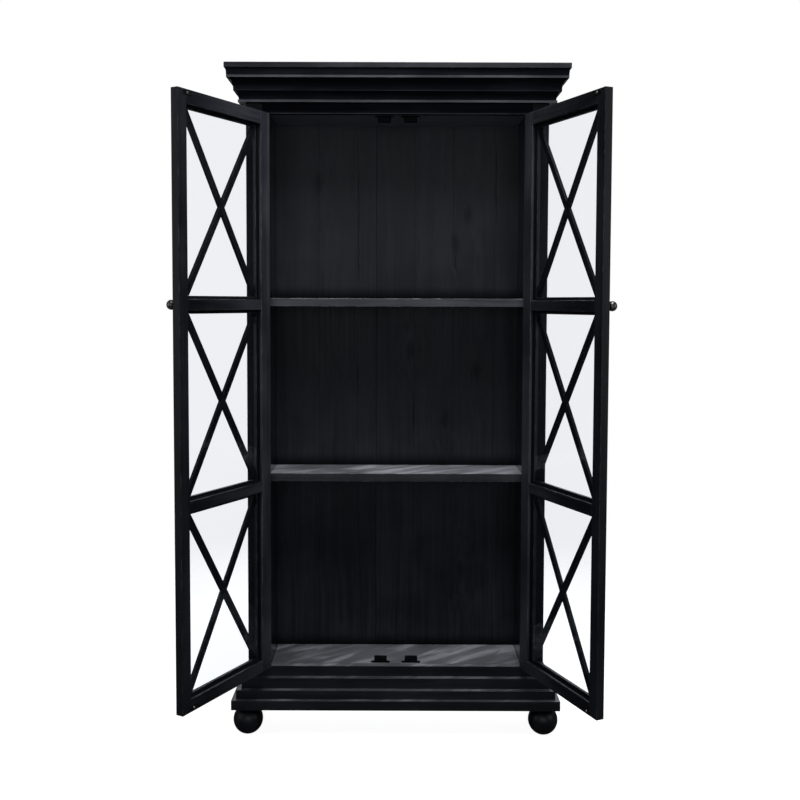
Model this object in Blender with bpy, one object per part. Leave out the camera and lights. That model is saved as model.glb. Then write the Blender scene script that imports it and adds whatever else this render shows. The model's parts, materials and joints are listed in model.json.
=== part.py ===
"""Tall glazed cabinet: a stepped crown and base, two framed glass doors with crossed bars, ball feet.

Metres, +Z up, floor at Z = 0, front towards -Y. Everything is laid out from the middle of the case's front
face, and each door is drawn shut, in the frame of its own hinge axis, which is then turned to hold it open.
"""

import math

import bmesh
import bpy
from mathutils import Vector

# --- driving dimensions ---------------------------------------------------------------------------------
HEIGHT = 1.990
CASE_WIDTH = 0.890
CASE_DEPTH = 0.200
OPENING_WIDTH = 0.794
INTERIOR_WIDTH = 0.758
INTERIOR_BACK = 0.185  # inner face of the back boards, behind the front face
FLOOR_TOP = 0.2035
DOOR_HEIGHT = 1.6465
DOOR_WIDTH = 0.394
DOOR_THICKNESS = 0.0235
DOOR_GAP = 0.0015  # all round each door, so 3 mm where the two meet
LEFT_OPEN = math.radians(118.8)
RIGHT_OPEN = math.radians(113.2)
# The origin lies under the middle of the object as it stands with its doors open.
CASE_CENTRE = Vector((0.016, 0.0875, 0.0))

# --- case -----------------------------------------------------------------------------------------------
TOP_BOARD_THICKNESS = 0.0155
TOP_BOARD_OVERHANG = 0.055
CROWN_HEIGHT = 0.0912
CROWN_FILLET = (0.0200, 0.007)  # (overhang, height) of the lowest member
CROWN_HOLLOWS = (  # (overhang, height above the crown's bottom) where each hollow starts and ends
    ((0.0175, 0.0075), (0.0300, 0.0305)),
    ((0.0315, 0.0345), (0.0470, 0.0650)),
    ((0.0490, 0.0715), (0.0535, CROWN_HEIGHT)),
)
BASE_BOARD_THICKNESS = 0.0295
BASE_OVERHANG = 0.046
BASE_STEPS = ((0.033, 0.026), (0.0185, 0.0325))  # (overhang, height) above the base board
POST_DEPTH = 0.048
RAIL_DEPTH = 0.022
PANEL_THICKNESS = 0.018
LINING_THICKNESS = 0.016
STOP_DEPTH = 0.020  # of the strip along the lining's front that the hinge stile closes against
STOP_CLEARANCE = 0.001
BACK_THICKNESS = 0.012
BACK_SEAM = -0.064
BACK_LAP = 0.008  # how far the left board's rear half reaches behind the right board
BACK_GROOVES = ((-0.245, -0.123), (0.056, 0.177, 0.307))  # on the left and on the right back board
GROOVE_DEPTH = 0.0004
SHELF_TOPS = {"lower": 0.785, "upper": 1.313}
SHELF_THICKNESS = 0.0245
SHELF_FRONT = 0.028
DADO = 0.006

# --- feet -----------------------------------------------------------------------------------------------
FOOT_HEIGHT = 0.085
FOOT_RADIUS = 0.0445
FOOT_FLAT = 0.014  # radius of the flat it stands on
FOOT_NECK = 0.020
FOOT_X = 0.446
FOOT_ROWS = {"front": 0.0, "rear": 0.154}

# --- doors ----------------------------------------------------------------------------------------------
HINGE_STILE = 0.042
MEETING_STILE = 0.034
TOP_RAIL = 0.038
MIDDLE_RAIL = 0.030
BOTTOM_RAIL = 0.0355
LOWER_LITE = 0.503
UPPER_LITE = 0.505  # the middle one and the top one
LIP = 0.009  # how far the front of the frame reaches over the glass
LIP_THICKNESS = 0.0095
GLASS_THICKNESS = 0.003
GLASS_CLEARANCE = 0.0015  # round the edge of a pane
BAR_WIDTH = 0.019
BAR_THICKNESS = 0.0090

# --- fittings -------------------------------------------------------------------------------------------
KNOB_FROM_EDGE = 0.020
KNOB_ROSE = (0.0085, 0.002)  # (radius, thickness)
KNOB_NECK = (0.0055, 0.004)  # (radius, height) where the rose has run into the waist
KNOB_WAIST = (0.0050, 0.0105)
KNOB_HEAD = (0.0135, 0.0210)  # (radius, height of its centre)
KNOB_HEAD_ENDS = (0.0105, 0.003)  # radius of the head's outline at the waist and at its tip
KNOB_TIP = 0.0002
HINGE_HEIGHT = 0.064
HINGE_FROM_END = 0.150
HINGE_LEAF = 0.0015
HINGE_REACH = 0.0215
KNUCKLE_RADIUS = 0.0032
PIN_RADIUS = 0.0015
PIN_CLEARANCE = 0.0003
PIN_SHORT = 0.001  # from each end of the pin to the end of its knuckle
TAB_OVERLAP = 0.001  # how far a tab runs into its knuckle
TAB_LENGTH = 0.003
CATCH_SPACING = {"lower": 0.093, "upper": 0.077}
CATCH_FRONT = 0.0262
CATCH_BODY = (0.038, 0.014, 0.018)
CATCH_WING = (0.057, 0.0022)  # (width, thickness) of the flange that is screwed down

GAP = 0.0003  # between pieces that touch
SOFT_EDGE = 0.0012
THIN_SOFT_EDGE = 0.0008  # on mouldings and bars

# --- derived sizes --------------------------------------------------------------------------------------
HALF_CASE = CASE_WIDTH / 2
HALF_OPENING = OPENING_WIDTH / 2
HALF_INTERIOR = INTERIOR_WIDTH / 2
CEILING = FLOOR_TOP + DOOR_HEIGHT + 2 * DOOR_GAP
DOOR_BOTTOM = FLOOR_TOP + DOOR_GAP
DOOR_TOP = DOOR_BOTTOM + DOOR_HEIGHT
BASE_TOP = FOOT_HEIGHT + BASE_BOARD_THICKNESS
CASE_TOP = HEIGHT - TOP_BOARD_THICKNESS
CROWN_BOTTOM = CASE_TOP - GAP - CROWN_HEIGHT
AXIS_X = HALF_OPENING - DOOR_GAP / 2
AXIS_Y = -KNUCKLE_RADIUS - GAP
FACE = -AXIS_Y  # the door's front face, in its axis's frame
HINGE_BOTTOMS = {
    "lower": DOOR_BOTTOM + HINGE_FROM_END,
    "upper": DOOR_TOP - HINGE_FROM_END - HINGE_HEIGHT,
}
SIDES = {"left": -1, "right": 1}


def material(name, colour, roughness, metallic=0.0, transmission=0.0):
    made = bpy.data.materials.new(name)
    made.use_nodes = True
    shader = made.node_tree.nodes["Principled BSDF"]
    shader.inputs["Base Color"].default_value = (*colour, 1.0)
    shader.inputs["Roughness"].default_value = roughness
    shader.inputs["Metallic"].default_value = metallic
    shader.inputs["Transmission Weight"].default_value = transmission
    return made


# --- shapes ---------------------------------------------------------------------------------------------
def mesh_of(name, shape):
    """Turns a bmesh into a mesh whose faces point out."""
    shape.normal_update()
    bmesh.ops.recalc_face_normals(shape, faces=shape.faces)
    mesh = bpy.data.meshes.new(name)
    shape.to_mesh(mesh)
    shape.free()
    return mesh


def box(name, low, high):
    """A block between two corners, which may be given in either order."""
    shape = bmesh.new()
    bmesh.ops.create_cube(shape, size=1.0)
    low, high = Vector(low), Vector(high)
    for vertex in shape.verts:
        vertex.co = [a + (b - a) * (c + 0.5) for a, b, c in zip(low, high, vertex.co)]
    return mesh_of(name, shape)


def loft(name, rings):
    """A solid through rings of points, with the first and the last ring filled in."""
    shape = bmesh.new()
    rings = [[shape.verts.new(point) for point in ring] for ring in rings]
    for near, far in zip(rings, rings[1:]):
        for i in range(len(near)):
            j = (i + 1) % len(near)
            shape.faces.new((near[i], near[j], far[j], far[i]))
    shape.faces.new(rings[0])
    shape.faces.new(rings[-1])
    return mesh_of(name, shape)


def circle(shape, radius, height, segments):
    """A ring of new vertices about Z."""
    turns = [2 * math.pi * k / segments for k in range(segments)]
    return [shape.verts.new((radius * math.cos(turn), radius * math.sin(turn), height)) for turn in turns]


def turned(name, profile, segments=24):
    """A solid of revolution about Z, from (radius, height) points that start and end on the axis."""
    shape = bmesh.new()
    ends = [shape.verts.new((0, 0, height)) for _, height in (profile[0], profile[-1])]
    rings = [circle(shape, radius, height, segments) for radius, height in profile[1:-1]]
    for k in range(segments):
        following = (k + 1) % segments
        for lower, upper in zip(rings, rings[1:]):
            shape.faces.new((lower[k], lower[following], upper[following], upper[k]))
        shape.faces.new((ends[0], rings[0][following], rings[0][k]))
        shape.faces.new((ends[1], rings[-1][k], rings[-1][following]))
    return mesh_of(name, shape)


def cylinder(name, radius, low, high, segments=20):
    return turned(name, [(0, low), (radius, low), (radius, high), (0, high)], segments)


def tube(name, inner, outer, low, high, segments=20):
    """A round pipe about Z."""
    shape = bmesh.new()
    section = ((inner, low), (outer, low), (outer, high), (inner, high))
    rings = [circle(shape, radius, height, segments) for radius, height in section]
    for ring, following in zip(rings, rings[1:] + rings[:1]):
        for k in range(segments):
            j = (k + 1) % segments
            shape.faces.new((ring[k], ring[j], following[j], following[k]))
    return mesh_of(name, shape)


def sphere_arc(radius, centre, from_radius, to_radius, steps):
    """(radius, height) points over a ball, from a small circle below to one above."""
    start = -math.acos(from_radius / radius)
    end = math.acos(to_radius / radius)
    angles = [start + (end - start) * k / steps for k in range(steps + 1)]
    return [(radius * math.cos(a), centre + radius * math.sin(a)) for a in angles]


def cove(start, end, steps=6):
    """A hollow quarter curve that leaves start straight up and arrives at end level."""
    run, rise = end[0] - start[0], end[1] - start[1]
    angles = [math.pi / 2 * k / steps for k in range(steps + 1)]
    return [(end[0] - run * math.cos(a), start[1] + rise * math.sin(a)) for a in angles]


# --- objects --------------------------------------------------------------------------------------------
def place(name, mesh, parent, look, location=(0, 0, 0), rotation=(0, 0, 0), smooth=False):
    made = bpy.data.objects.new(name, mesh)
    bpy.context.scene.collection.objects.link(made)
    made.parent = parent
    made.location = location
    made.rotation_euler = rotation
    if not mesh.materials:
        mesh.materials.append(look)
    if smooth:
        mesh.shade_smooth()
        mesh.set_sharp_from_angle(angle=math.radians(35))
    return made


def soften(made, width=SOFT_EDGE, segments=2):
    """Eases the outer arrises of a wooden piece, and leaves its inner corners sharp."""
    shape = bmesh.new()
    shape.from_mesh(made.data)
    weight = shape.edges.layers.float.new("bevel_weight_edge")
    for edge in shape.edges:
        edge[weight] = float(edge.is_convex and edge.calc_face_angle() > math.radians(40))
    shape.to_mesh(made.data)
    shape.free()
    bevel = made.modifiers.new("soft_edges", "BEVEL")
    bevel.width = width
    bevel.segments = segments
    bevel.limit_method = "WEIGHT"
    return made


def cut(made, name, mesh):
    """Cuts a hidden shape out of a piece, in the piece's own frame."""
    cutter = bpy.data.objects.new(name, mesh)
    bpy.context.scene.collection.objects.link(cutter)
    cutter.parent = made
    cutter.hide_render = True
    cutter.display_type = "WIRE"
    taken = made.modifiers.new(name, "BOOLEAN")
    taken.operation = "DIFFERENCE"
    taken.object = cutter


def union(name, meshes):
    """One mesh that joins overlapping ones."""
    pieces = [bpy.data.objects.new(name, mesh) for mesh in meshes]
    for piece in pieces:
        bpy.context.scene.collection.objects.link(piece)
    for piece in pieces[1:]:
        joined = pieces[0].modifiers.new("join", "BOOLEAN")
        joined.operation = "UNION"
        joined.object = piece
    graph = bpy.context.evaluated_depsgraph_get()
    made = bpy.data.meshes.new_from_object(pieces[0].evaluated_get(graph))
    made.name = name
    for piece in pieces:
        bpy.data.objects.remove(piece)
    return made


def empty(name, parent, location, turn=0.0):
    made = bpy.data.objects.new(name, None)
    bpy.context.scene.collection.objects.link(made)
    made.parent = parent
    made.location = location
    made.rotation_euler = (0, 0, turn)
    return made


# --- case -----------------------------------------------------------------------------------------------
def wrapped_moulding(name, profile, case, look):
    """A moulding round the left, front and right of the case, mitred at the corners: (overhang, height)."""
    stations = (
        lambda out, up: (-(HALF_CASE + out), CASE_DEPTH, up),
        lambda out, up: (-(HALF_CASE + out), -out, up),
        lambda out, up: (HALF_CASE + out, -out, up),
        lambda out, up: (HALF_CASE + out, CASE_DEPTH, up),
    )
    rings = [[station(*point) for point in profile] for station in stations]
    return soften(place(name, loft(name, rings), case, look), THIN_SOFT_EDGE, segments=1)


def crown_profile():
    """A square fillet, then three hollows, each of which starts above a step out from the one below."""
    profile = [(GAP, 0), (CROWN_FILLET[0], 0), CROWN_FILLET]
    for start, end in CROWN_HOLLOWS:
        profile += [(start[0], profile[-1][1]), *cove(start, end)]
    profile.append((GAP, CROWN_HEIGHT))
    return [(overhang, CROWN_BOTTOM + height) for overhang, height in profile]


def base_profile():
    height = BASE_TOP + GAP
    profile = [(GAP, height)]
    for overhang, rise in BASE_STEPS:
        profile += [(overhang, height), (overhang, height + rise)]
        height += rise
    return profile + [(GAP, height)]


def build_boards(case, wood):
    """The flat pieces that span the case."""
    inside = HALF_OPENING - GAP
    lining = HALF_INTERIOR - GAP
    panel_front = RAIL_DEPTH + GAP
    panel_back = INTERIOR_BACK - GAP
    overhang = HALF_CASE + TOP_BOARD_OVERHANG
    foot_print = HALF_CASE + BASE_OVERHANG
    ceiling_top, floor_bottom = CEILING + PANEL_THICKNESS, FLOOR_TOP - PANEL_THICKNESS
    boards = {
        "top_board": ((-overhang, -TOP_BOARD_OVERHANG, CASE_TOP), (overhang, CASE_DEPTH, HEIGHT)),
        "base_board": ((-foot_print, -BASE_OVERHANG, FOOT_HEIGHT), (foot_print, CASE_DEPTH, BASE_TOP)),
        "head_rail": ((-inside, 0, CEILING), (inside, RAIL_DEPTH, CASE_TOP - GAP)),
        "bottom_rail": ((-inside, 0, BASE_TOP + GAP), (inside, RAIL_DEPTH, FLOOR_TOP)),
        "ceiling_panel": ((-lining, panel_front, CEILING), (lining, panel_back, ceiling_top)),
        "floor_panel": ((-lining, panel_front, floor_bottom), (lining, panel_back, FLOOR_TOP)),
    }
    for name, corners in boards.items():
        soften(place(name, box(name, *corners), case, wood))


def build_shelves(case, wood):
    half = HALF_INTERIOR + DADO - GAP
    for level, top in SHELF_TOPS.items():
        name = f"shelf_{level}"
        mesh = box(name, (-half, SHELF_FRONT, top - SHELF_THICKNESS), (half, INTERIOR_BACK - GAP, top))
        soften(place(name, mesh, case, wood))


def build_sides(case, wood):
    """On each side: a square front post, an outer panel, and a lining whose front edge stops the door."""
    bottom, top = BASE_TOP + GAP, CASE_TOP - GAP
    for side, sign in SIDES.items():
        name = f"front_post_{side}"
        mesh = box(name, (sign * HALF_OPENING, 0, bottom), (sign * HALF_CASE, POST_DEPTH, top))
        post = soften(place(name, mesh, case, wood))
        for level, height in HINGE_BOTTOMS.items():
            mortise = f"{name}_mortise_{level}"
            low = (sign * (HALF_OPENING - GAP), -GAP, height - GAP)
            high = (
                sign * (HALF_OPENING + HINGE_LEAF + GAP),
                AXIS_Y + HINGE_REACH + GAP,
                height + HINGE_HEIGHT + GAP,
            )
            cut(post, mortise, box(mortise, low, high))

        name = f"side_panel_{side}"
        low = (sign * (HALF_CASE - PANEL_THICKNESS), POST_DEPTH + GAP, bottom)
        soften(place(name, box(name, low, (sign * HALF_CASE, CASE_DEPTH, top)), case, wood))

        name = f"side_lining_{side}"
        stop_front = DOOR_THICKNESS + STOP_CLEARANCE
        stop_back = stop_front + STOP_DEPTH
        wall = HALF_INTERIOR + LINING_THICKNESS
        outline = (
            (HALF_INTERIOR, stop_front),
            (HALF_OPENING - GAP, stop_front),
            (HALF_OPENING - GAP, stop_back),
            (wall, stop_back),
            (wall, INTERIOR_BACK - GAP),
            (HALF_INTERIOR, INTERIOR_BACK - GAP),
        )
        rings = [[(sign * x, y, z) for x, y in outline] for z in (bottom, top)]
        lining = soften(place(name, loft(name, rings), case, wood))
        for level, shelf_top in SHELF_TOPS.items():
            slot = f"{name}_dado_{level}"
            low = (sign * (HALF_INTERIOR - DADO), SHELF_FRONT - GAP, shelf_top - SHELF_THICKNESS - GAP)
            high = (sign * (HALF_INTERIOR + DADO), INTERIOR_BACK + DADO, shelf_top + GAP)
            cut(lining, slot, box(slot, low, high))


def build_back(case, wood):
    """Two upright back boards, lapped where they meet, with a V groove for every narrower board joined on."""
    edge = HALF_CASE - PANEL_THICKNESS - GAP
    face, bottom = INTERIOR_BACK, INTERIOR_BACK + GROOVE_DEPTH
    rear = INTERIOR_BACK + BACK_THICKNESS
    middle = (face + rear) / 2
    lap = BACK_SEAM + BACK_LAP
    left_end, right_start = BACK_SEAM - GAP, BACK_SEAM + GAP
    spans = {"left": (-edge, left_end), "right": (right_start, edge)}
    tails = {
        "left": ((left_end, middle + GAP), (lap - GAP, middle + GAP), (lap - GAP, rear), (-edge, rear)),
        "right": ((edge, rear), (lap + GAP, rear), (lap + GAP, middle - GAP), (right_start, middle - GAP)),
    }
    for (side, (start, end)), grooves in zip(spans.items(), BACK_GROOVES):
        name = f"back_board_{side}"
        outline = [(start, bottom), (start + GROOVE_DEPTH, face)]
        for x in grooves:
            outline += [(x - GROOVE_DEPTH, face), (x, bottom), (x + GROOVE_DEPTH, face)]
        outline += [(end - GROOVE_DEPTH, face), (end, bottom), *tails[side]]
        rings = [[(x, y, z) for x, y in outline] for z in (BASE_TOP + GAP, CASE_TOP - GAP)]
        place(name, loft(name, rings), case, wood)


def build_feet(case, wood):
    """Turned ball feet with a small flat below and a neck above."""
    centre = math.sqrt(FOOT_RADIUS**2 - FOOT_FLAT**2)
    ball = sphere_arc(FOOT_RADIUS, centre, FOOT_FLAT, FOOT_NECK, steps=10)
    top = FOOT_HEIGHT - GAP
    mesh = turned("foot", [(0, 0), *ball, (FOOT_NECK, top), (0, top)])
    for row, y in FOOT_ROWS.items():
        for side, sign in SIDES.items():
            place(f"foot_{row}_{side}", mesh, case, wood, (sign * FOOT_X, y, 0), smooth=True)


def build_catches(case, plastic):
    """Magnetic catches behind the meeting stiles: two stand on the floor and two hang from the ceiling."""
    width, depth, height = CATCH_BODY
    wing, wing_height = CATCH_WING
    for level, base, up in (("lower", FLOOR_TOP + GAP, 1), ("upper", CEILING - GAP, -1)):
        outline = (
            (-wing / 2, 0),
            (wing / 2, 0),
            (wing / 2, wing_height),
            (width / 2, wing_height),
            (width / 2, height),
            (-width / 2, height),
            (-width / 2, wing_height),
            (-wing / 2, wing_height),
        )
        for side, sign in SIDES.items():
            name = f"catch_{level}_{side}"
            rings = [[(x, y, up * z) for x, z in outline] for y in (0, depth)]
            spot = (sign * CATCH_SPACING[level] / 2, CATCH_FRONT, base)
            soften(place(name, loft(name, rings), case, plastic, spot), THIN_SOFT_EDGE, segments=1)


# --- hinges ---------------------------------------------------------------------------------------------
def leaf_plates(sign, knuckles):
    """The leaf let into the wood, and the tabs that join it to its knuckles, in the axis's frame."""
    near, far = sign * DOOR_GAP / 2, sign * (DOOR_GAP / 2 + HINGE_LEAF)
    tab_start = KNUCKLE_RADIUS - TAB_OVERLAP
    plates = [box("leaf", (near, KNUCKLE_RADIUS + 2 * GAP, 0), (far, HINGE_REACH, HINGE_HEIGHT))]
    for low, high in knuckles:
        plates.append(box("tab", (near, tab_start, low), (far, tab_start + TAB_LENGTH, high)))
    return plates


def frame_leaf(sign):
    """The leaf on the post, with the two outer knuckles and the pin."""
    quarter = HINGE_HEIGHT / 4
    knuckles = ((0, quarter - GAP), (HINGE_HEIGHT - quarter + GAP, HINGE_HEIGHT))
    shapes = leaf_plates(sign, knuckles)
    shapes += [cylinder("knuckle", KNUCKLE_RADIUS, low, high) for low, high in knuckles]
    shapes.append(cylinder("pin", PIN_RADIUS, PIN_SHORT, HINGE_HEIGHT - PIN_SHORT))
    return union("frame_leaf", shapes)


def door_leaf(sign):
    """The leaf on the door, whose long middle knuckle turns on the pin."""
    low, high = HINGE_HEIGHT / 4, HINGE_HEIGHT * 3 / 4
    knuckle = tube("knuckle", PIN_RADIUS + PIN_CLEARANCE, KNUCKLE_RADIUS, low, high)
    return union("door_leaf", [*leaf_plates(sign, ((low, high),)), knuckle])


# --- doors ----------------------------------------------------------------------------------------------
def stile_outline(width):
    """A stile's section from its outer edge: full thickness, then a lip in front of the glass."""
    return (
        (0, 0),
        (width + LIP, 0),
        (width + LIP, LIP_THICKNESS),
        (width, LIP_THICKNESS),
        (width, DOOR_THICKNESS),
        (0, DOOR_THICKNESS),
    )


def rail_outline(bottom, top, lip_below, lip_above):
    """A rail's section: full thickness from bottom to top, with a lip past each glazed edge."""
    low, high = bottom - lip_below, top + lip_above
    outline = [(low, 0), (high, 0)]
    if lip_above:
        outline += [(high, LIP_THICKNESS), (top, LIP_THICKNESS)]
    outline += [(top, DOOR_THICKNESS), (bottom, DOOR_THICKNESS)]
    if lip_below:
        outline += [(bottom, LIP_THICKNESS), (low, LIP_THICKNESS)]
    return outline


def crossed_bars(width, height):
    """Outline of two crossed bars that fill a width by height window from corner to corner."""
    slope = math.atan2(height, width)
    across = BAR_WIDTH / 2 / math.sin(slope)
    along = BAR_WIDTH / 2 / math.cos(slope)
    return (
        (0, 0), (across, 0), (width / 2, height / 2 - along), (width - across, 0),
        (width, 0), (width, along), (width / 2 + across, height / 2), (width, height - along),
        (width, height), (width - across, height), (width / 2, height / 2 + along), (across, height),
        (0, height), (0, height - along), (width / 2 - across, height / 2), (0, along),
    )


class Door:
    """One door, whose pieces are laid out from its hinge edge, its front face and the floor."""

    def __init__(self, side, case, angle, looks):
        self.side = side
        self.sign = SIDES[side]
        self.looks = looks
        # Seen from above, the left door opens clockwise and the right door anticlockwise.
        axis = (self.sign * AXIS_X, AXIS_Y, 0)
        self.axis = empty(f"{side}_door_axis", case, axis, self.sign * angle)

    def point(self, across, deep, up):
        return (-self.sign * (DOOR_GAP / 2 + across), FACE + deep, up)

    def add(self, name, mesh, look, **options):
        return place(f"{self.side}_door_{name}", mesh, self.axis, self.looks[look], **options)

    def box(self, name, low, high):
        return box(name, self.point(*low), self.point(*high))

    def build(self):
        self.build_stiles()
        heights = self.build_rails()
        for level, (bottom, top) in heights.items():
            self.glaze(level, bottom, top)
        self.build_knob()
        self.build_hinge_leaves()

    def build_stiles(self):
        ends = (DOOR_BOTTOM, DOOR_TOP)
        hinge = [[self.point(x, y, z) for x, y in stile_outline(HINGE_STILE)] for z in ends]
        stile = soften(self.add("hinge_stile", loft("hinge_stile", hinge), "wood"))
        for level, height in HINGE_BOTTOMS.items():
            low = (-GAP, -GAP, height - GAP)
            high = (HINGE_LEAF + GAP, HINGE_REACH - FACE + GAP, height + HINGE_HEIGHT + GAP)
            mortise = f"{self.side}_door_mortise_{level}"
            cut(stile, mortise, self.box(mortise, low, high))
        meeting = [
            [self.point(DOOR_WIDTH - x, y, z) for x, y in stile_outline(MEETING_STILE)] for z in ends
        ]
        soften(self.add("meeting_stile", loft("meeting_stile", meeting), "wood"))

    def build_rails(self):
        """Makes the four rails, and returns the bottom and the top of each window between them."""
        start, end = HINGE_STILE + GAP, DOOR_WIDTH - MEETING_STILE - GAP
        rails = (
            ("bottom_rail", BOTTOM_RAIL, 0, LIP),
            ("lower_rail", MIDDLE_RAIL, LIP, LIP),
            ("upper_rail", MIDDLE_RAIL, LIP, LIP),
            ("top_rail", TOP_RAIL, LIP, 0),
        )
        lites = (("lower", LOWER_LITE), ("middle", UPPER_LITE), ("upper", UPPER_LITE), (None, 0))
        heights = {}
        bottom = DOOR_BOTTOM
        for (name, height, lip_below, lip_above), (level, lite) in zip(rails, lites):
            outline = rail_outline(bottom, bottom + height, lip_below, lip_above)
            rings = [[self.point(x, y, z) for z, y in outline] for x in (start, end)]
            rail = soften(self.add(name, loft(name, rings), "wood"))
            # The stiles' lips run past the rail, so its front is cut back to them at both ends.
            tips = {"hinge": (start + LIP, start - LIP), "meeting": (end - LIP, end + LIP)}
            for tip, (inner, outer) in tips.items():
                low = (inner, -LIP, bottom - 2 * LIP)
                high = (outer, LIP_THICKNESS + GAP, bottom + height + 2 * LIP)
                notch = f"{self.side}_door_{name}_notch_{tip}"
                cut(rail, notch, self.box(notch, low, high))
            bottom += height
            if level:
                heights[level] = (bottom, bottom + lite)
            bottom += lite
        return heights

    def glaze(self, level, bottom, top):
        """One pane against the lips, and the crossed bars in front of it."""
        start, end = HINGE_STILE, DOOR_WIDTH - MEETING_STILE
        front = LIP_THICKNESS + GAP
        low = (start + GLASS_CLEARANCE, front, bottom + GLASS_CLEARANCE)
        high = (end - GLASS_CLEARANCE, front + GLASS_THICKNESS, top - GLASS_CLEARANCE)
        self.add(f"glass_{level}", self.box("glass", low, high), "glass")

        inset = LIP + GAP
        width, height = end - start - 2 * inset, top - bottom - 2 * inset
        outline = crossed_bars(width, height)
        back = LIP_THICKNESS - GAP
        rings = [
            [self.point(start + inset + x, y, bottom + inset + z) for x, z in outline]
            for y in (back - BAR_THICKNESS, back)
        ]
        bars = self.add(f"crossed_bars_{level}", loft("crossed_bars", rings), "wood")
        soften(bars, THIN_SOFT_EDGE, segments=1)

    def build_knob(self):
        """A small turned knob: a rose against the door, a waist, and a domed head."""
        head = sphere_arc(*KNOB_HEAD, *KNOB_HEAD_ENDS, steps=8)
        tip = (0, head[-1][1] + KNOB_TIP)
        profile = [(0, GAP), (KNOB_ROSE[0], GAP), KNOB_ROSE, KNOB_NECK, KNOB_WAIST, *head, tip]
        rail_bottom = DOOR_BOTTOM + BOTTOM_RAIL + LOWER_LITE + MIDDLE_RAIL + UPPER_LITE
        spot = self.point(DOOR_WIDTH - KNOB_FROM_EDGE, 0, rail_bottom + MIDDLE_RAIL / 2)
        turn = (math.pi / 2, 0, 0)
        self.add("knob", turned("knob", profile), "knob", location=spot, rotation=turn, smooth=True)

    def build_hinge_leaves(self):
        mesh = door_leaf(-self.sign)
        for level, height in HINGE_BOTTOMS.items():
            self.add(f"hinge_leaf_{level}", mesh, "steel", location=(0, 0, height))


def build_frame_leaves(case, steel):
    for side, sign in SIDES.items():
        mesh = frame_leaf(sign)
        for level, height in HINGE_BOTTOMS.items():
            spot = (sign * AXIS_X, AXIS_Y, height)
            place(f"hinge_frame_{side}_{level}", mesh, case, steel, spot)


def main():
    for old in list(bpy.data.objects):
        bpy.data.objects.remove(old)
    looks = {
        "wood": material("black_lacquered_wood", (0.011, 0.011, 0.014), 0.38),
        "glass": material("clear_glass", (0.93, 0.95, 0.98), 0.02, transmission=1.0),
        "knob": material("dark_pewter", (0.16, 0.15, 0.14), 0.42, metallic=1.0),
        "steel": material("blackened_steel", (0.05, 0.05, 0.052), 0.45, metallic=1.0),
        "plastic": material("black_plastic", (0.014, 0.014, 0.016), 0.5),
    }
    wood = looks["wood"]
    case = empty("case", None, CASE_CENTRE)
    build_boards(case, wood)
    build_shelves(case, wood)
    build_sides(case, wood)
    build_back(case, wood)
    wrapped_moulding("crown_moulding", crown_profile(), case, wood)
    wrapped_moulding("base_moulding", base_profile(), case, wood)
    build_feet(case, wood)
    build_catches(case, looks["plastic"])
    build_frame_leaves(case, looks["steel"])
    for side, angle in (("left", LEFT_OPEN), ("right", RIGHT_OPEN)):
        Door(side, case, angle, looks).build()


main()
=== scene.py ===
"""Looks for the black glazed cabinet: lacquered wood, thin glass, pewter knobs, and the small fittings.

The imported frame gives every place. Pieces of a door are drawn in the door's own frame, where it is shut:
across from its hinge edge, deep from its front face, up from the floor.
"""

import json
import math
import random

import bmesh
import bpy
from mathutils import Matrix, Vector


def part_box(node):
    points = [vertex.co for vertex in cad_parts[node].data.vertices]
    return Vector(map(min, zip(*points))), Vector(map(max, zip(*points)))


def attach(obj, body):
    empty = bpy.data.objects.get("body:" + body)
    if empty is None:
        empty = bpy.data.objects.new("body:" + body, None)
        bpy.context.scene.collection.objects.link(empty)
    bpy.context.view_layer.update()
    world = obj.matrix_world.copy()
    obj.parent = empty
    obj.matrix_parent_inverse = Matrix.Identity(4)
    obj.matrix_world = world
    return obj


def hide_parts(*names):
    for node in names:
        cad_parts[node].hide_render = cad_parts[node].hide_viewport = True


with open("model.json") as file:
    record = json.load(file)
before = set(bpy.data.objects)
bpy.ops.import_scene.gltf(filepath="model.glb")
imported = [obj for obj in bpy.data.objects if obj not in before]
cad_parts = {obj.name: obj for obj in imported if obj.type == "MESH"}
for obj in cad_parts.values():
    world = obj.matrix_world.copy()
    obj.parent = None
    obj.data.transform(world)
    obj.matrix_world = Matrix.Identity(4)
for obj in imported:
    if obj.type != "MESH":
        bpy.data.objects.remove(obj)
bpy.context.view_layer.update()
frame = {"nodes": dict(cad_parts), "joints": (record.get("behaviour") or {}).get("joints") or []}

SIDES = {"left": -1, "right": 1}
LEVELS = ("lower", "middle", "upper")
CASE_BOX = (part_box("side_panel_left")[0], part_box("side_panel_right")[1])
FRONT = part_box("front_post_left")[0].y
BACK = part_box("back_board_left")[0].y
CASE_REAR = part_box("top_board")[1].y


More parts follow.
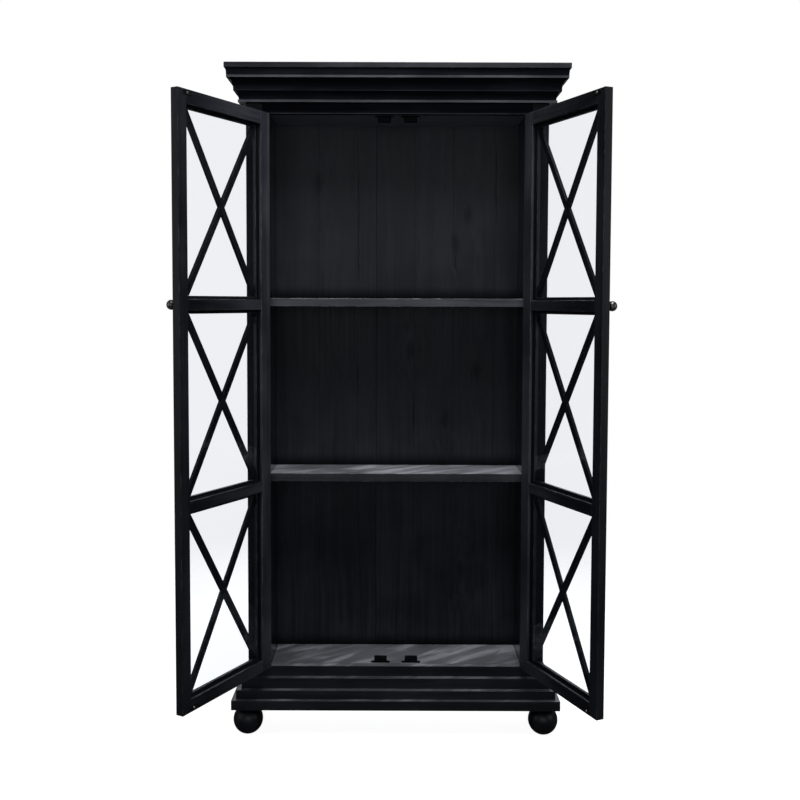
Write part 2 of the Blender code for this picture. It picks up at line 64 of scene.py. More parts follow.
# --- shader nodes ---------------------------------------------------------------------------------------
class Shader:
    """A material's node tree, with a short call for each kind of node it needs."""

    def __init__(self, name):
        self.material = bpy.data.materials.new(name)
        self.material.use_nodes = True
        self.tree = self.material.node_tree
        self.surface = self.tree.nodes["Principled BSDF"]
        self.output = self.tree.nodes["Material Output"]

    def wire(self, value, socket):
        """Feeds a socket from another node's output, or sets it to a plain value."""
        if isinstance(value, bpy.types.NodeSocket):
            self.tree.links.new(value, socket)
        else:
            socket.default_value = value

    def node(self, kind, output=0, properties=None, **inputs):
        made = self.tree.nodes.new(kind)
        for key, value in (properties or {}).items():
            setattr(made, key, value)
        for key, value in inputs.items():
            self.wire(value, made.inputs[key.replace("_", " ")])
        return made.outputs[output]

    def math(self, operation, *values, clamp=False):
        made = self.tree.nodes.new("ShaderNodeMath")
        made.operation = operation
        made.use_clamp = clamp
        for value, socket in zip(values, made.inputs):
            self.wire(value, socket)
        return made.outputs[0]

    def vector(self, operation, *values, output=0):
        made = self.tree.nodes.new("ShaderNodeVectorMath")
        made.operation = operation
        for value, socket in zip(values, made.inputs):
            self.wire(value, socket)
        return made.outputs[output]

    def noise(self, where, scale, detail=3.0, roughness=0.5, distortion=0.0):
        return self.node(
            "ShaderNodeTexNoise", Vector=where, Scale=scale, Detail=detail, Roughness=roughness,
            Distortion=distortion,
        )

    def ease(self, value, low, high, to_low=0.0, to_high=1.0):
        """Maps low..high smoothly on to to_low..to_high, and holds it there outside."""
        made = self.tree.nodes.new("ShaderNodeMapRange")
        made.interpolation_type = "SMOOTHSTEP"
        keys = ("Value", "From Min", "From Max", "To Min", "To Max")
        for key, number in zip(keys, (value, low, high, to_low, to_high)):
            self.wire(number, made.inputs[key])
        return made.outputs[0]

    def blend(self, factor, first, second):
        """Mixes two colours."""
        made = self.tree.nodes.new("ShaderNodeMix")
        made.data_type = "RGBA"
        self.wire(factor, made.inputs["Factor"])
        for colour, socket in zip((first, second), (made.inputs[6], made.inputs[7])):
            self.wire(colour if isinstance(colour, bpy.types.NodeSocket) else (*colour, 1.0), socket)
        return made.outputs[2]

    def split(self, where):
        made = self.tree.nodes.new("ShaderNodeSeparateXYZ")
        self.wire(where, made.inputs[0])
        return made.outputs

    def join(self, x, y, z):
        made = self.tree.nodes.new("ShaderNodeCombineXYZ")
        for value, socket in zip((x, y, z), made.inputs):
            self.wire(value, socket)
        return made.outputs[0]

    def bump(self, height, strength, distance):
        relief = self.node("ShaderNodeBump", Height=height, Strength=strength, Distance=distance)
        self.wire(relief, self.surface.inputs["Normal"])

    def set(self, **sockets):
        for key, value in sockets.items():
            self.wire(value, self.surface.inputs[key.replace("_", " ")])


# --- materials ------------------------------------------------------------------------------------------
BLACK = (0.0036, 0.0042, 0.0074)
CHARCOAL = (0.0115, 0.0128, 0.0190)
# The grey of the bloom, which also carries a painted sheen on upright faces and painted light under the
# ceiling.
BLOOM_AND_SHEEN = (0.108, 0.114, 0.138)
# The pale dust on rubbed arrises, which also draws painted highlight lines.
DUST_AND_HIGHLIGHT = (0.40, 0.41, 0.46)
BARE = (0.095, 0.097, 0.106)
WORN = (0.17, 0.174, 0.195)
PALE = (0.50, 0.51, 0.57)
KNOTS = ((0.24, 1.58), (0.20, 1.49), (0.06, 1.15), (0.27, 1.08), (-0.23, 1.67), (0.22, 0.44), (0.17, 0.93))
SPLITS = (  # (across, middle height, half its length) of each dark split in the back
    (-0.104, 1.54, 0.22), (0.328, 1.67, 0.13), (0.202, 1.45, 0.075), (0.084, 1.46, 0.06),
    (-0.107, 1.05, 0.06), (0.255, 1.08, 0.04), (0.070, 0.94, 0.05), (-0.23, 0.52, 0.05),
)
LEVEL_TOPS = [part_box(node)[1].z for node in ("floor_panel", "shelf_lower", "shelf_upper")]


def lacquer(
    name, along="Z", door=None, bloom_and_sheen=0.0, top_dust_and_sheen=0.0, under_painted_light=0.0, highlight_bands=(), inner=False, knots=False,
    wraps=False, rub=0.5, worn=BARE, gloss=0.5, shine=1.0, relief=0.28,
):
    """Black lacquer brushed on wood whose grain runs along an axis of the object, or of a door.

    haze is the grey bloom with a painted sheen on upright faces, top_dust_and_sheen the pale dust with a
    painted sheen on faces that look up, stronger towards the right as painted light, and under_painted_light
    painted light on faces that look down. bands are the (low, high, strength) heights that get painted
    highlight lines, pale where the bloom is. With inner, the bloom and the gloss lie on a door's inner face
    and fade away from the hinge as painted light, and the lip round each pane keeps a painted shade. knots
    is for the back, with its knots, its splits, the painted shade just over each level, and bloom and
    reflections that change with height as painted light. A moulding that wraps round the case has its grain
    along each side of it. rub is how far the lacquer is worn off the arrises, down to worn.
    """
    s = Shader(name)
    raw = place = s.node("ShaderNodeTexCoord", output=3)
    normal = s.node("ShaderNodeTexCoord", output=1)
    if door:
        about = {"rotation_type": "Z_AXIS"}
        place = s.vector("SUBTRACT", place, tuple(door.matrix.translation))
        place = s.node("ShaderNodeVectorRotate", properties=about, Vector=place, Angle=-door.open)
        normal = s.node("ShaderNodeVectorRotate", properties=about, Vector=normal, Angle=-door.open)
    local = place
    of_object = {"attribute_type": "OBJECT", "attribute_name": "grain_shift"}
    shift = s.node("ShaderNodeAttribute", output=2, properties=of_object)
    shift = s.join(shift, s.math("MULTIPLY", shift, 0.37), s.math("MULTIPLY", shift, 0.73))
    place = s.vector("ADD", place, shift)

    # The figure bends a little on its way along the grain, and flows round the knots.
    x, y, z = s.split(place)
    if wraps:
        facing = s.split(s.vector("ABSOLUTE", normal))
        sideways = s.math("GREATER_THAN", facing[0], facing[1])
        across = s.math("SUBTRACT", y, x)
        x = s.math("MULTIPLY_ADD", sideways, across, x)
        y = s.math("SUBTRACT", y, s.math("MULTIPLY", sideways, across))
    run = {"X": x, "Z": z}[along]
    sway = s.math("MULTIPLY", s.math("SUBTRACT", s.noise(place, 2.2, 2.0), 0.5), 0.030)
    ring = None
    if knots:
        near = None
        for knot_x, knot_z in KNOTS:
            away = s.vector("SUBTRACT", raw, (knot_x, BACK, knot_z))
            away = s.vector("LENGTH", s.vector("MULTIPLY", away, (1.0, 0.0, 0.42)), output=1)
            near = away if near is None else s.math("MINIMUM", near, away)
        wobble = s.math("MULTIPLY", s.math("SUBTRACT", s.noise(place, 26.0, 3.0), 0.5), 0.022)
        near = s.math("ADD", near, wobble)
        ring = s.ease(near, 0.020, 0.003)
        sway = s.math("ADD", sway, s.math("MULTIPLY", s.ease(near, 0.075, 0.0), 0.030))
    if along == "X":
        grain = s.join(s.math("MULTIPLY", run, 0.045), s.math("ADD", y, sway), s.math("ADD", z, sway))
    else:
        grain = s.join(s.math("ADD", x, sway), s.math("ADD", y, sway), s.math("MULTIPLY", run, 0.045))

    figure = s.noise(grain, 34.0, 5.0, 0.55, 0.6)
    strands = s.noise(grain, 260.0, 3.0, 0.6)
    pores = s.ease(s.noise(grain, 900.0, 2.0, 0.5), 0.36, 0.27)
    longer = {"X": (0.35, 1.0, 1.0), "Z": (1.0, 1.0, 0.35)}[along]
    strokes = s.noise(s.vector("MULTIPLY", grain, longer), 120.0, 2.0)
    patches = s.noise(place, 4.5, 3.0, 0.6)
    streak = s.ease(s.math("ADD", figure, s.math("MULTIPLY", patches, 0.5)), 0.66, 0.92)

    colour = s.blend(streak, BLACK, CHARCOAL)
    colour = s.blend(s.ease(strands, 0.60, 0.80, 0.0, 0.35), colour, CHARCOAL)
    height = s.math("ADD", s.math("MULTIPLY", strands, 0.45), s.math("MULTIPLY", strokes, 0.35))
    height = s.math("ADD", height, s.math("MULTIPLY", figure, 0.8))
    height = s.math("SUBTRACT", height, s.math("MULTIPLY", pores, 0.5))

    # The bloom lies in long uneven strokes.
    up = s.split(normal)[2]
    bloom = s.math("ADD", s.math("MULTIPLY", strokes, 0.6), s.math("MULTIPLY", patches, 0.7))
    bloom = s.ease(bloom, 0.45, 0.85, 0.35, 1.0)
    # Faces that look up get pale dust in wipe marks with a painted sheen; it grows towards the right, which
    # is painted light.
    if top_dust_and_sheen:
        facing = s.math("MULTIPLY", s.ease(up, 0.85, 0.98), s.ease(s.split(raw)[0], -0.35, 0.42, 0.80, 1.7))
        aslant = {"rotation_type": "Z_AXIS"}
        wiped = s.node("ShaderNodeVectorRotate", properties=aslant, Vector=place, Angle=math.radians(-38))
        wiped = s.vector("MULTIPLY", wiped, (0.20, 1.0, 1.0))
        wipes = s.ease(s.noise(wiped, 22.0, 4.0, 0.55, 0.4), 0.42, 0.74)
        level = s.math("MULTIPLY", facing, s.math("MULTIPLY_ADD", wipes, top_dust_and_sheen, top_dust_and_sheen * 0.42))
        level = s.math("MULTIPLY", level, s.ease(patches, 0.25, 0.7, 0.55, 1.0), clamp=True)
        colour = s.blend(level, colour, PALE)
    if bloom_and_sheen:
        if knots:
            # Painted light: the bloom on the back doubles towards its bottom.
            bloom = s.math("MULTIPLY", bloom, s.ease(s.split(raw)[2], 0.95, 0.65, 1.0, 2.0))
        # Painted light and shade: on a door's inner face the bloom and the reflections fade away from the
        # hinge, and the lip round each pane keeps a painted shade.
        if inner:
            away, deep, _ = s.split(local)
            bloom = s.math("MULTIPLY", bloom, s.ease(s.math("ABSOLUTE", away), 0.36, 0.05, 0.12, 1.3))
            painted_lip_shade = s.ease(deep, door.face + 0.0105, door.face + 0.0130, 0.12, 1.0)
            bloom = s.math("MULTIPLY", bloom, painted_lip_shade)
            s.set(Specular_Tint=s.ease(s.math("ABSOLUTE", away), 0.36, 0.05, 0.41, 1.0))
        # Upright faces get the grey bloom with a painted sheen.
        upright = s.math("SUBTRACT", 1.0, s.math("ABSOLUTE", up))
        colour = s.blend(s.math("MULTIPLY", s.math("MULTIPLY", bloom, upright), bloom_and_sheen), colour, BLOOM_AND_SHEEN)
    # Faces that look down get painted light in the grey of the bloom.
    if under_painted_light:
        colour = s.blend(s.math("MULTIPLY", s.ease(up, -0.85, -0.98), under_painted_light), colour, BLOOM_AND_SHEEN)
    # Painted highlight lines: the given heights, on faces that are not level, turn pale where the bloom is.
    for low, high, strength in highlight_bands:
        rise = s.split(raw)[2]
        above, below = s.ease(rise, low - 0.0008, low + 0.0004), s.ease(rise, high + 0.0008, high - 0.001)
        within = s.math("MULTIPLY", above, below)
        outward = s.ease(s.math("ABSOLUTE", up), 0.9, 0.5)
        within = s.math("MULTIPLY", s.math("MULTIPLY", within, outward), s.math("MULTIPLY", bloom, strength))
        colour = s.blend(within, colour, DUST_AND_HIGHLIGHT)

    # On the arrises the lacquer is rubbed thin.
    nx, ny, nz = (s.math("ABSOLUTE", part) for part in s.split(normal))
    squareness = s.math("MAXIMUM", nx, s.math("MAXIMUM", ny, nz))
    rubbed = s.ease(squareness, 0.985, 0.90)
    rubbed = s.math("MULTIPLY", rubbed, s.ease(s.noise(place, 30.0, 4.0, 0.65), 0.44, 0.66))
    if not wraps:
        rubbed = s.math("MULTIPLY", rubbed, s.ease({"X": nx, "Z": nz}[along], 0.30, 0.10))
    if rub:
        colour = s.blend(s.math("MULTIPLY", rubbed, rub), colour, worn)
    if knots:
        rings = s.math("SINE", s.math("MULTIPLY", near, 620.0))
        height = s.math("ADD", height, s.math("MULTIPLY", s.math("MULTIPLY", rings, ring), 0.5))
        ahead = s.ease(s.split(normal)[1], -0.5, -0.9)
        flaw = s.math("MAXIMUM", s.math("MULTIPLY", ring, 0.35), s.math("MULTIPLY", splits(s, raw), 0.6))
        flaw = s.math("MULTIPLY", flaw, ahead)
        height = s.math("SUBTRACT", height, s.math("MULTIPLY", flaw, 1.4))
        # Painted shade just above the floor and each shelf darkens the back, together with the real flaws.
        shade = s.math("MULTIPLY", s.math("MULTIPLY", painted_shade_above_levels(s, raw), 0.85), ahead)
        deep = s.math("MAXIMUM", flaw, shade)
        colour = s.blend(s.math("MULTIPLY", deep, 0.95), colour, (0.0015, 0.0015, 0.002))
        # Painted light: the back's reflections grow towards its top, and fade in the flaws and the painted
        # shade.
        lit = s.ease(s.split(raw)[2], 1.20, 1.82, 0.45, 1.0)
        s.set(Specular_Tint=s.math("MULTIPLY", s.math("SUBTRACT", 1.0, s.math("MULTIPLY", deep, 0.85)), lit))

    rough = s.math("ADD", s.ease(strokes, 0.3, 0.7, 0.0, 0.10), s.ease(patches, 0.3, 0.7, 0.33, 0.42))
    rough = s.math("MULTIPLY", s.math("ADD", rough, s.math("MULTIPLY", pores, 0.12)), shine)
    s.set(Base_Color=colour, Roughness=rough, Specular_IOR_Level=gloss)
    s.bump(height, relief, 0.0005)
    return s.material


def splits(s, raw):
    """How far a point of the back lies in one of its splits, from 0 to 1."""
    x, _, z = s.split(raw)
    wander = s.noise(s.join(0.0, 0.0, z), 11.0, 4.0, 0.65)
    wander = s.math("MULTIPLY", s.math("SUBTRACT", wander, 0.5), 0.016)
    ragged = s.noise(s.vector("MULTIPLY", raw, (1.0, 1.0, 0.25)), 160.0, 3.0, 0.6)
    width = s.ease(ragged, 0.35, 0.65, 0.0009, 0.0036)
    found = None
    for across, middle, half in SPLITS:
        aside = s.math("ABSOLUTE", s.math("SUBTRACT", s.math("ADD", x, wander), across))
        along = s.math("ABSOLUTE", s.math("SUBTRACT", z, middle))
        here = s.math("MULTIPLY", s.ease(aside, width, 0.0002), s.ease(along, half, half * 0.55))
        found = here if found is None else s.math("MAXIMUM", found, here)
    return found


def painted_shade_above_levels(s, raw):
    """The painted shade just above the floor or a shelf: how close a point lies above one, from 0 to 1."""
    z = s.split(raw)[2]
    found = None
    for top in LEVEL_TOPS:
        rise = s.math("SUBTRACT", z, top)
        here = s.math("MULTIPLY", s.ease(rise, 0.045, 0.0), s.math("GREATER_THAN", rise, 0.0))
        found = here if found is None else s.math("MAXIMUM", found, here)
    return found


def thin_glass():
    """A clear pane: nearly all light goes straight through, and a little mirrors off it."""
    s = Shader("clear_glass")
    clear = s.node("ShaderNodeBsdfTransparent", Color=(0.948, 0.957, 0.976, 1.0))
    dust = s.noise(s.node("ShaderNodeTexCoord", output=3), 7.0, 4.0, 0.6)
    rough = s.ease(dust, 0.3, 0.7, 0.02, 0.06)
    mirror = s.node("ShaderNodeBsdfAnisotropic", Color=(1.0, 1.0, 1.0, 1.0), Roughness=rough)
    outside = s.math("SUBTRACT", 1.0, s.node("ShaderNodeNewGeometry", output=6))
    gleam = s.math("MULTIPLY", s.node("ShaderNodeFresnel", IOR=1.45), outside)
    mixed = s.node("ShaderNodeMixShader", Fac=gleam)
    made = mixed.node
    s.wire(clear, made.inputs[1])
    s.wire(mirror, made.inputs[2])
    s.wire(mixed, s.output.inputs["Surface"])
    s.tree.nodes.remove(s.surface)
    return s.material


def metal(name, colour, roughness, grime, scale=220.0):
    """Cast or plated metal with dark grime in a fine mottle."""
    s = Shader(name)
    place = s.node("ShaderNodeTexCoord", output=3)
    mottle = s.noise(place, scale, 5.0, 0.65)
    wear = s.noise(place, scale * 0.25, 3.0)
    colour = s.blend(s.ease(mottle, 0.42, 0.66), colour, grime)
    s.set(Base_Color=colour, Metallic=1.0)
    s.set(Roughness=s.ease(wear, 0.3, 0.7, roughness - 0.08, roughness + 0.10))
    s.bump(s.math("ADD", mottle, wear), 0.25, 0.0003)
    return s.material


def moulded_plastic(name, colour):
    """Black plastic with a fine spark texture."""
    s = Shader(name)
    place = s.node("ShaderNodeTexCoord", output=3)
    spark = s.noise(place, 2600.0, 2.0)
    worn = s.noise(place, 120.0, 3.0)
    s.set(Base_Color=s.blend(s.ease(worn, 0.4, 0.7), colour, tuple(part * 1.8 for part in colour)))
    s.set(Roughness=s.ease(worn, 0.3, 0.7, 0.42, 0.58), Specular_IOR_Level=0.06)
    s.bump(spark, 0.35, 0.00012)
    return s.material


# --- meshes ---------------------------------------------------------------------------------------------
def mesh_of(name, shape):
    shape.normal_update()
    bmesh.ops.recalc_face_normals(shape, faces=shape.faces)
    mesh = bpy.data.meshes.new(name)
    shape.to_mesh(mesh)
    shape.free()
    return mesh


def add_loft(shape, rings, closed=True):
    """Faces through rings of points, with the first and the last filled in."""
    rings = [[shape.verts.new(point) for point in ring] for ring in rings]
    for near, far in zip(rings, rings[1:]):
        for i in range(len(near)):
            j = (i + 1) % len(near)
            shape.faces.new((near[i], near[j], far[j], far[i]))
    if closed:
        shape.faces.new(rings[0])
        shape.faces.new(rings[-1])


def add_loop(shape, rings):
    """Faces through rings of points, and from the last ring back to the first."""
    rings = [[shape.verts.new(point) for point in ring] for ring in rings]
    for near, far in zip(rings, rings[1:] + rings[:1]):
        for i in range(len(near)):
            j = (i + 1) % len(near)
            shape.faces.new((near[i], near[j], far[j], far[i]))


def add_turned(shape, profile, spin=Matrix(), segments=48):
    """A solid of revolution about Z, from (radius, height) points that start and end on the axis."""
    ends = [shape.verts.new(spin @ Vector((0, 0, height))) for _, height in (profile[0], profile[-1])]
    turns = [2 * math.pi * k / segments for k in range(segments)]
    rings = [
        [shape.verts.new(spin @ Vector((radius * math.cos(a), radius * math.sin(a), height))) for a in turns]
        for radius, height in profile[1:-1]
    ]
    for k in range(segments):
        j = (k + 1) % segments
        for lower, upper in zip(rings, rings[1:]):
            shape.faces.new((lower[k], lower[j], upper[j], upper[k]))
        shape.faces.new((ends[0], rings[0][j], rings[0][k]))
        shape.faces.new((ends[1], rings[-1][k], rings[-1][j]))


def add_box(shape, low, high, spin=Matrix()):
    made = bmesh.ops.create_cube(shape, size=1.0)["verts"]
    for vertex in made:
        vertex.co = spin @ Vector([a + (b - a) * (c + 0.5) for a, b, c in zip(low, high, vertex.co)])


def add_screw(shape, spin, radius, rise):
    """A screw's head that stands out along Z, with a cross recess."""
    cross = [0.55, 0.50, 0.20, 0.17, 0.20, 0.50] * 4
    turns = [2 * math.pi * k / len(cross) for k in range(len(cross))]

    def ring(sizes, height):
        flat = [(radius * size * math.cos(a), radius * size * math.sin(a)) for a, size in zip(turns, sizes)]
        return [spin @ Vector((x, y, height)) for x, y in flat]

    head = ((1.0, -0.0002), (1.0, 0.0), (0.93, rise * 0.7), (0.7, rise))
    rings = [ring([size] * len(cross), height) for size, height in head]
    add_loft(shape, rings + [ring(cross, rise), ring(cross, rise - radius * 0.35)])


def rounded(half_x, half_y, radius, steps=5):
    """Outline of a rectangle with round corners."""
    corners = ((1, 1, 0), (-1, 1, 90), (-1, -1, 180), (1, -1, 270))
    outline = []
    for x, y, start in corners:
        outline += arc((x * (half_x - radius), y * (half_y - radius)), radius, start, start + 90, steps)
    return outline


def arc(centre, radius, start, end, steps):
    """Points round a circle in a profile, between two angles in degrees."""
    angles = [math.radians(start + (end - start) * k / steps) for k in range(steps + 1)]
    return [(centre[0] + radius * math.cos(a), centre[1] + radius * math.sin(a)) for a in angles]


def cove(start, end, steps=14):
    """A hollow quarter curve that leaves start straight up and arrives at end level."""
    run, rise = end[0] - start[0], end[1] - start[1]
    angles = [math.pi / 2 * k / steps for k in range(steps + 1)]
    return [(end[0] - run * math.cos(a), start[1] + rise * math.sin(a)) for a in angles]


# --- pieces ---------------------------------------------------------------------------------------------
def piece(name, mesh, body, material, nodes=(), soft=0.0, segments=2):
    """A smooth-shaded piece in the object's frame, with its arrises eased by soft, that rides on a body."""
    made = bpy.data.objects.new(name, mesh)
    bpy.context.scene.collection.objects.link(made)
    mesh.materials.append(material)
    mesh.shade_smooth()
    mesh.set_sharp_from_angle(angle=math.radians(32))
    if soft:
        bevel = made.modifiers.new("soft_edges", "BEVEL")
        bevel.width = soft
        bevel.segments = segments
        bevel.limit_method = "ANGLE"
        bevel.angle_limit = math.radians(32)
        bevel.harden_normals = True
    made["grain_shift"] = grain_shift(name)
    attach(made, body)
    if nodes:
        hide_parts(*nodes)
    return made


def grain_shift(name):
    """A steady offset for each piece, so that no two have the same grain."""
    return random.Random(name).uniform(0.0, 40.0)


class DoorFrame:
    """A door as it is when shut: across from its hinge edge, deep from its front face, up from the floor."""

    def __init__(self, side):
        self.side = side
        self.sign = SIDES[side]
        self.body = f"{side}_door"
        joint = next(j for j in frame["joints"] if j["name"] == f"{side}_door_hinge")
        self.open = -math.radians(joint["range_deg"][1]) * joint["axis"][2]
        self.matrix = Matrix.Translation(joint["pos_m"]) @ Matrix.Rotation(self.open, 4, "Z")
        self.inverse = self.matrix.inverted()
        stile, meeting = self.reach("hinge_stile"), self.reach("meeting_stile")
        self.edge = stile[0].x
        self.face = stile[0].y
        self.width = meeting[1].x - self.edge
        self.thickness = stile[1].y - self.face

    def reach(self, node):
        """Lowest and highest corner of one of the door's nodes, with X counted away from the hinge."""
        vertices = frame["nodes"][f"{self.side}_door_{node}"].data.vertices
        points = [self.inverse @ vertex.co for vertex in vertices]
        points = [Vector((-self.sign * p.x, p.y, p.z)) for p in points]
        return tuple(Vector(pick(p[k] for p in points) for k in range(3)) for pick in (min, max))

    def point(self, across, deep, up):
        return self.matrix @ Vector((-self.sign * (self.edge + across), self.face + deep, up))

    def spin(self, across, deep, up, tilt=0.0):
        """Places something turned about Z so that its axis points out of the inner face, or as tilted."""
        spot = Vector((-self.sign * (self.edge + across), self.face + deep, up))
        return self.matrix @ Matrix.Translation(spot) @ Matrix.Rotation(tilt - math.pi / 2, 4, "X")


def paint_nodes(doors):
    """Gives the CAD nodes that stay their lacquers."""
    upright = lacquer("lacquer_upright", "Z", bloom_and_sheen=0.05, gloss=0.35)
    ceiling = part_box("head_rail")[0].z
    # A painted highlight line along the head rail's bottom edge.
    edge = (ceiling, ceiling + 0.0025, 0.25)
    looks = {
        "shelf_lower": lacquer("lacquer_lower_shelf", "X", bloom_and_sheen=0.42, top_dust_and_sheen=1.0, rub=0.8, worn=DUST_AND_HIGHLIGHT),
        "shelf_upper": lacquer("lacquer_upper_shelf", "X", bloom_and_sheen=0.95, top_dust_and_sheen=1.0, rub=1.0, worn=DUST_AND_HIGHLIGHT),
        "floor_panel": lacquer("lacquer_floor", "X", top_dust_and_sheen=0.70),
        "top_board": lacquer("lacquer_top_board", "X", bloom_and_sheen=0.20, wraps=True, rub=0.9, gloss=0.4),
        "ceiling_panel": lacquer("lacquer_ceiling", "X", under_painted_light=1.0),
        "head_rail": lacquer("lacquer_head_rail", "X", highlight_bands=[edge], gloss=0.06),
        "bottom_rail": lacquer("lacquer_bottom_rail", "X", bloom_and_sheen=0.04, top_dust_and_sheen=0.70, gloss=0.4),
        "base_board": lacquer("lacquer_base_board", "X", bloom_and_sheen=0.06, top_dust_and_sheen=0.28, wraps=True),
    }
    lining = lacquer("lacquer_lining", "Z", rub=0.2, gloss=0.8, shine=0.35, relief=0.05)
    back = lacquer("lacquer_back", "Z", bloom_and_sheen=0.12, knots=True, rub=0.0, gloss=0.53)
    for side, door in doors.items():
        looks[f"back_board_{side}"] = back
        looks[f"side_lining_{side}"] = lining
        looks[f"side_panel_{side}"] = looks[f"front_post_{side}"] = upright
        edges = {"rub": 0.7, "worn": WORN}
        stile = lacquer(f"lacquer_{side}_hinge_stile", "Z", door, bloom_and_sheen=0.36, inner=True, gloss=0.55, **edges)
        meeting = lacquer(f"lacquer_{side}_meeting_stile", "Z", door, bloom_and_sheen=0.08, gloss=0.35, rub=0.7)
        rail = lacquer(f"lacquer_{side}_rails", "X", door, bloom_and_sheen=0.30, inner=True, gloss=0.55, **edges)
        looks[f"{side}_door_hinge_stile"] = stile
        looks[f"{side}_door_meeting_stile"] = meeting
        for part in ("bottom_rail", "lower_rail", "upper_rail", "top_rail"):
            looks[f"{side}_door_{part}"] = rail
    for node, look in looks.items():
        dress(node, look)
    glass = thin_glass()
    for side in SIDES:
        for row in LEVELS:
            dress(f"{side}_door_glass_{row}", glass)


def dress(node, look):
    """Puts a material in a CAD node's slots."""
    target = frame["nodes"][node]
    target["grain_shift"] = grain_shift(node)
    for slot in target.material_slots:
        slot.link = "OBJECT"
        slot.material = look


# --- mouldings and feet ---------------------------------------------------------------------------------
CROWN_FILLET = (0.0200, 0.007)  # (overhang, height) of the lowest member
CROWN_HOLLOWS = (  # (overhang, height above the crown's bottom) where each hollow starts and ends
    ((0.0175, 0.0075), (0.0300, 0.0305)),
    ((0.0315, 0.0345), (0.0470, 0.0650)),
    ((0.0490, 0.0715), (0.0535, 0.0912)),
)
BASE_STEPS = ((0.033, 0.026), (0.0185, 0.0325))  # (overhang, height) of each member
FOOT_FLAT = 0.014  # radius of the flat under a ball foot
FOOT_NECK = 0.020
TOUCH = 0.0003  # between pieces that touch


def wrapped(name, profile, node, material):
    """A moulding mitred round three sides of the case, from (overhang, height above its foot) points."""
    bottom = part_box(node)[0].z
    left, right = CASE_BOX[0].x, CASE_BOX[1].x
    stations = (
        lambda out, up: (left - out, CASE_REAR, bottom + up),
        lambda out, up: (left - out, FRONT - out, bottom + up),
        lambda out, up: (right + out, FRONT - out, bottom + up),
        lambda out, up: (right + out, CASE_REAR, bottom + up),
    )
    shape = bmesh.new()
    add_loft(shape, [[station(*point) for point in profile] for station in stations])
    piece(name, mesh_of(name, shape), "case", material, [node], soft=0.0009, segments=3)


def make_mouldings():
    profile = [(TOUCH, 0), (CROWN_FILLET[0], 0), CROWN_FILLET]
    for start, end in CROWN_HOLLOWS:
        profile += [(start[0], profile[-1][1]), *cove(start, end)]
    profile.append((TOUCH, profile[-1][1]))
    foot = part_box("crown_moulding")[0].z
    # Painted highlight lines on the upright face of each lip of the crown.
    lip_highlights = ((0.0, 0.007, 0.30), (0.0300, 0.0335, 0.05), (0.0650, 0.0715, 0.30))
    highlight_bands = [(foot + low, foot + high, strength) for low, high, strength in lip_highlights]
    crown = lacquer("lacquer_crown", "X", highlight_bands=highlight_bands, wraps=True, rub=0.0, gloss=0.06)
    wrapped("crown_members", profile, "crown_moulding", crown)

    profile, height = [(TOUCH, 0)], 0
    for overhang, rise in BASE_STEPS:
        profile += [(overhang, height), (overhang, height + rise)]
        height += rise
    profile.append((TOUCH, height))
    base = lacquer("lacquer_base_steps", "X", bloom_and_sheen=0.05, top_dust_and_sheen=0.28, wraps=True)
    wrapped("base_members", profile, "base_moulding", base)


def make_feet():
    material = lacquer("lacquer_feet", "Z", bloom_and_sheen=0.04, rub=0.0, shine=0.85, relief=0.15)
    for row in ("front", "rear"):
        for side in SIDES:
            node = f"foot_{row}_{side}"
            low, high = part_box(node)
            radius = (high.x - low.x) / 2
            centre = math.sqrt(radius**2 - FOOT_FLAT**2)
            start, end = (math.degrees(math.acos(r / radius)) for r in (FOOT_FLAT, FOOT_NECK))
            ball = arc((0, centre), radius, -start, end, 36)
            profile = [(0, 0), *ball, (FOOT_NECK, high.z), (0, high.z)]
            shape = bmesh.new()
            spot = ((low.x + high.x) / 2, (low.y + high.y) / 2, 0)
            add_turned(shape, profile, Matrix.Translation(spot), 72)
            name = f"ball_foot_{row}_{side}"
            piece(name, mesh_of(name, shape), "case", material, [node])


# --- door furniture -------------------------------------------------------------------------------------
BAR_WIDTH = 0.019
BAR_JOINT = 0.00015  # the fine gap where one bar is halved into the other
KNOB_PROFILE = (  # (radius, height) from the door's face to the waist
    (0.0, 0.0003), (0.0078, 0.0003), (0.0083, 0.0006), (0.0085, 0.0011), (0.0083, 0.0016),
    (0.0076, 0.0020), (0.0064, 0.0026), (0.0056, 0.0036), (0.0051, 0.0050), (0.0049, 0.0070),
    (0.0050, 0.0090), (0.0052, 0.0108), (0.0060, 0.0116), (0.0080, 0.0121), (0.0098, 0.0124),
)
KNOB_HEAD = (0.01345, 0.0210)  # (radius, height of its centre)
KNOB_HEAD_ARC = (-38.9, 77.2)  # degrees up from level
KNOB_DOME = 0.0002  # how far the middle of the head rises over its arc
SEAL = 0.003
SEAL_GAP = 0.0014  # between a pane's edge and the frame
PLATE = (0.036, 0.012, 0.0012)  # (width, height, thickness)
PLATE_CORNER = 0.0035
PLATE_FROM_END = 0.009
STRIKE_SCREW = (0.0034, 0.0006)  # (radius, rise) of its head


